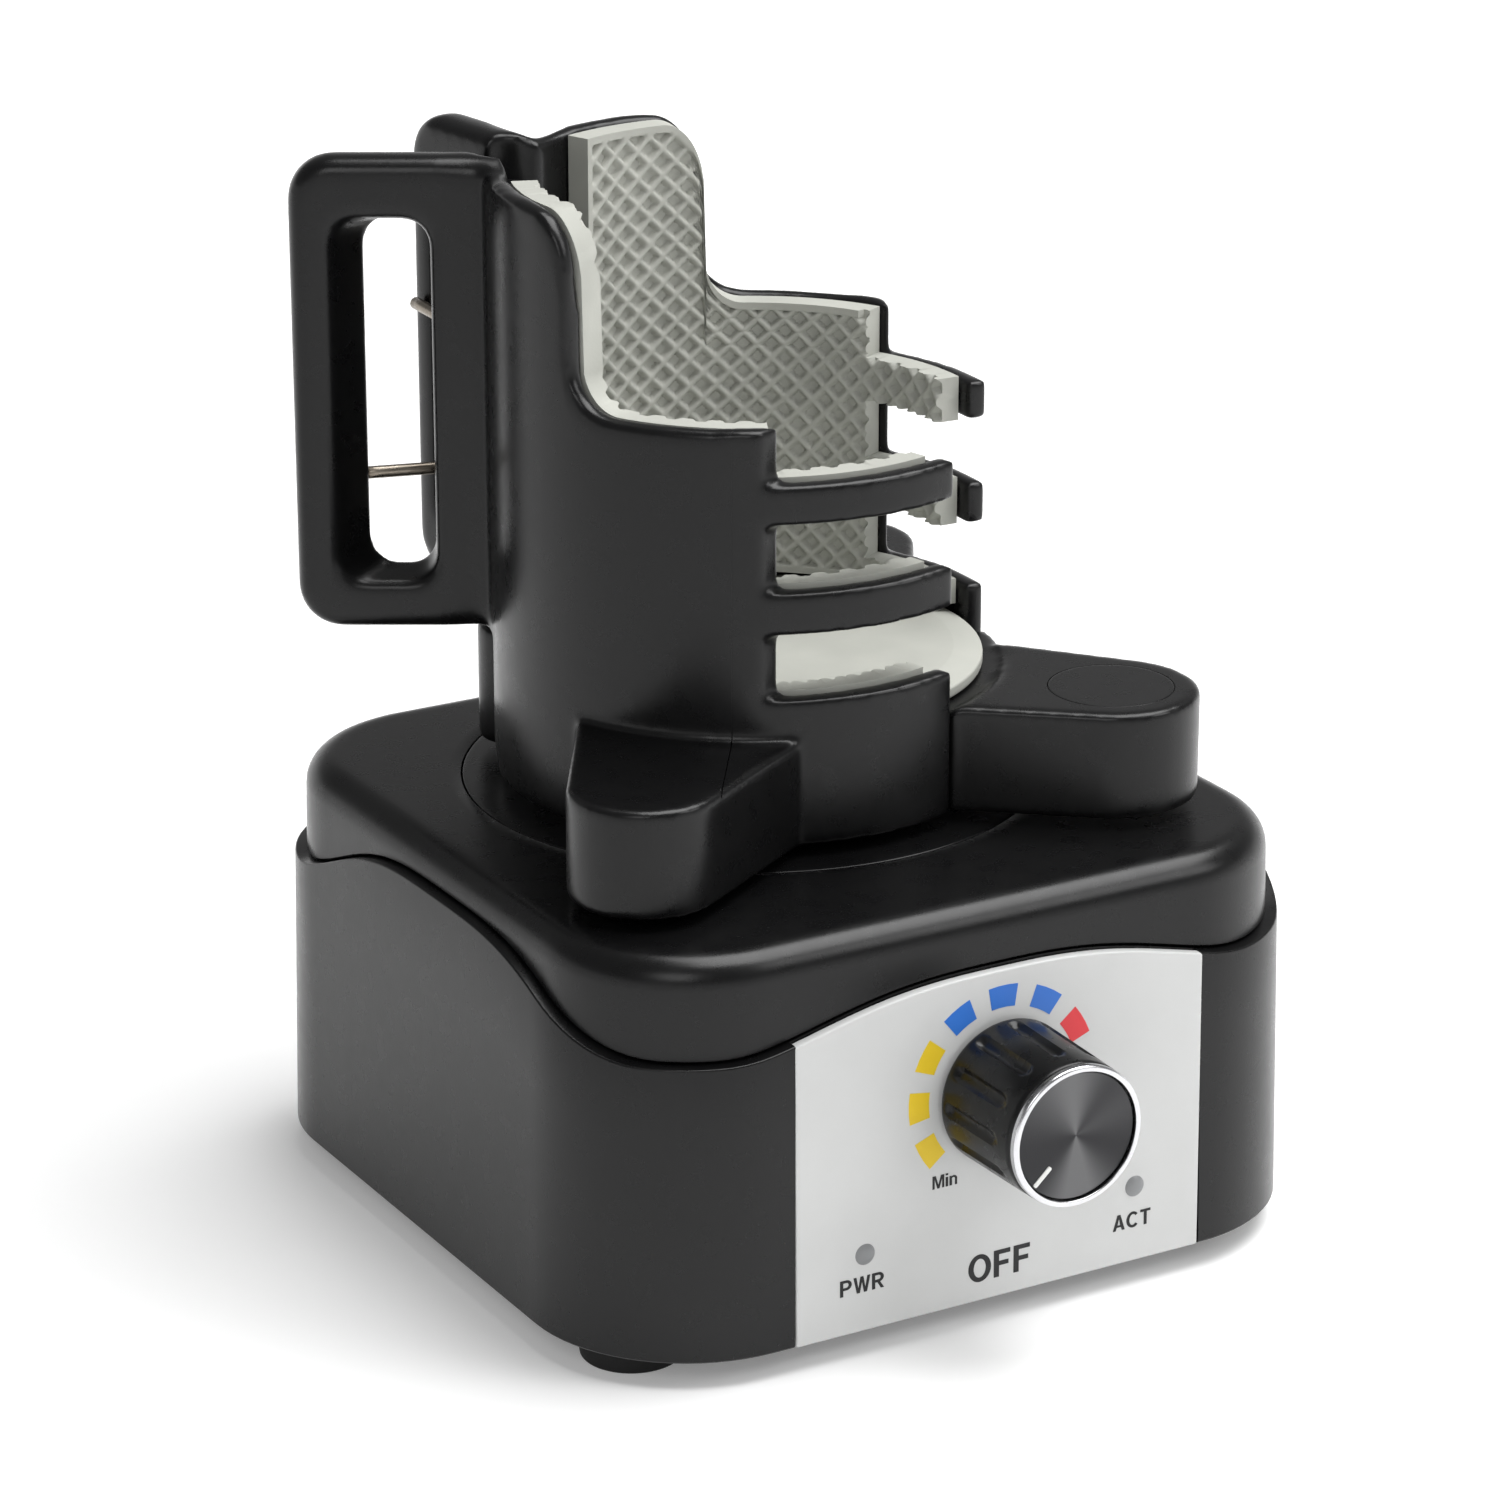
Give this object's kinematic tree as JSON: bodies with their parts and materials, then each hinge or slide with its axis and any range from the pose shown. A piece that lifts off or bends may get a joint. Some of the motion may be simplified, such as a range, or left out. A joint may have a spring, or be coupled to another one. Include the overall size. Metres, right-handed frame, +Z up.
{
  "type": "electric jar opener",
  "caption": "Square motorised base with a speed dial, turning a sprung two-jaw cradle that grips a jar and opens when its handles are squeezed.",
  "frame": {"origin": "on the surface it stands on, under the middle of the whole object's bounding box", "axes": "+Z up; -Y is the front, where the dial is; +X is to the right seen from the front"},
  "size_m": [0.15, 0.1736, 0.1925],
  "materials": {
    "black_plastic": "satin moulded plastic with a fine grain",
    "grey_panel": "smooth light grey faceplate with printed marks",
    "grey_rubber": "soft matt grip rubber, ridged in a diamond grid",
    "black_rubber": "matt",
    "steel": "plated, fine turned lines",
    "spring_steel": "drawn wire, oiled",
    "cast_metal": "cast, satin",
    "gear_plastic": "moulded",
    "board_green": "coated circuit board",
    "lamp_grey": "frosted lens, unlit",
    "silver": "bright turned ring",
    "white": "printed line"
  },
  "bodies": {
    "base_body": {"base_housing": "black_plastic", "top_cover": "black_plastic", "bottom_plate": "black_plastic", "front_panel": "grey_panel", "foot_1": "black_rubber", "foot_2": "black_rubber", "foot_3": "black_rubber", "foot_4": "black_rubber", "case_screw_1": "steel", "case_screw_2": "steel", "case_screw_3": "steel", "case_screw_4": "steel", "power_inlet": "black_plastic", "inlet_nut": "steel", "control_board": "board_green", "board_capacitor": "black_plastic", "board_heat_sink": "cast_metal", "board_terminals": "board_green", "speed_potentiometer": "cast_metal", "potentiometer_nut": "steel", "power_lamp": "lamp_grey", "activity_lamp": "lamp_grey", "bearing_tower": "cast_metal", "lower_bearing": "steel", "upper_bearing": "steel", "motor_can": "steel", "motor_gearbox": "cast_metal", "motor_bracket": "cast_metal", "motor_screw_1": "steel", "motor_screw_2": "steel"},
    "knob_body": {"potentiometer_shaft": "steel", "control_knob": "black_plastic", "knob_rim": "silver", "knob_face": "black_plastic", "knob_pointer": "white"},
    "pinion_body": {"drive_pinion": "steel", "motor_shaft": "steel"},
    "cradle_body": {"turntable_disc": "black_plastic", "spindle": "steel", "spindle_gear": "gear_plastic", "cradle_screw_1": "steel", "cradle_screw_2": "steel", "cradle_screw_3": "steel", "cradle_carrier": "black_plastic", "arm_cap": "black_plastic", "floor_pad": "grey_rubber", "hinge_pin": "steel", "pin_cap": "black_plastic", "lower_torsion_spring": "spring_steel", "upper_torsion_spring": "spring_steel"},
    "front_jaw_body": {"front_jaw": "black_plastic", "front_jaw_pad": "grey_rubber"},
    "rear_jaw_body": {"rear_jaw": "black_plastic", "rear_jaw_pad": "grey_rubber"}
  },
  "joints": [
    {"name": "turntable_spin", "type": "hinge", "parent": "base_body", "child": "cradle_body", "pos_m": [-0.001, 0.02025, 0.078], "axis": [0, 0, 1], "continuous": true},
    {"name": "pinion_spin", "type": "hinge", "parent": "base_body", "child": "pinion_body", "pos_m": [-0.0403, 0.02025, 0.0635], "axis": [0, 0, 1], "continuous": true},
    {"name": "front_jaw_hinge", "type": "hinge", "parent": "cradle_body", "child": "front_jaw_body", "pos_m": [-0.03282, 0.05207, 0.14], "axis": [0, 0, -1], "range_deg": [0, 20], "stiffness_Nm_per_rad": 0.4, "springref_deg": -34.38, "deforming": ["lower_torsion_spring"]},
    {"name": "rear_jaw_hinge", "type": "hinge", "parent": "cradle_body", "child": "rear_jaw_body", "pos_m": [-0.03282, 0.05207, 0.14], "axis": [0, 0, 1], "range_deg": [0, 20], "stiffness_Nm_per_rad": 0.4, "springref_deg": -34.38, "deforming": ["upper_torsion_spring"]},
    {"name": "knob_turn", "type": "hinge", "parent": "base_body", "child": "knob_body", "pos_m": [0.0017, -0.07, 0.0447], "axis": [0, 1, 0], "range_deg": [-47.5, 192.5]}
  ],
  "couplings": [
    {"joint": "pinion_spin", "follows": "turntable_spin", "ratio": -3.3333},
    {"joint": "rear_jaw_hinge", "follows": "front_jaw_hinge", "ratio": 1}
  ]
}
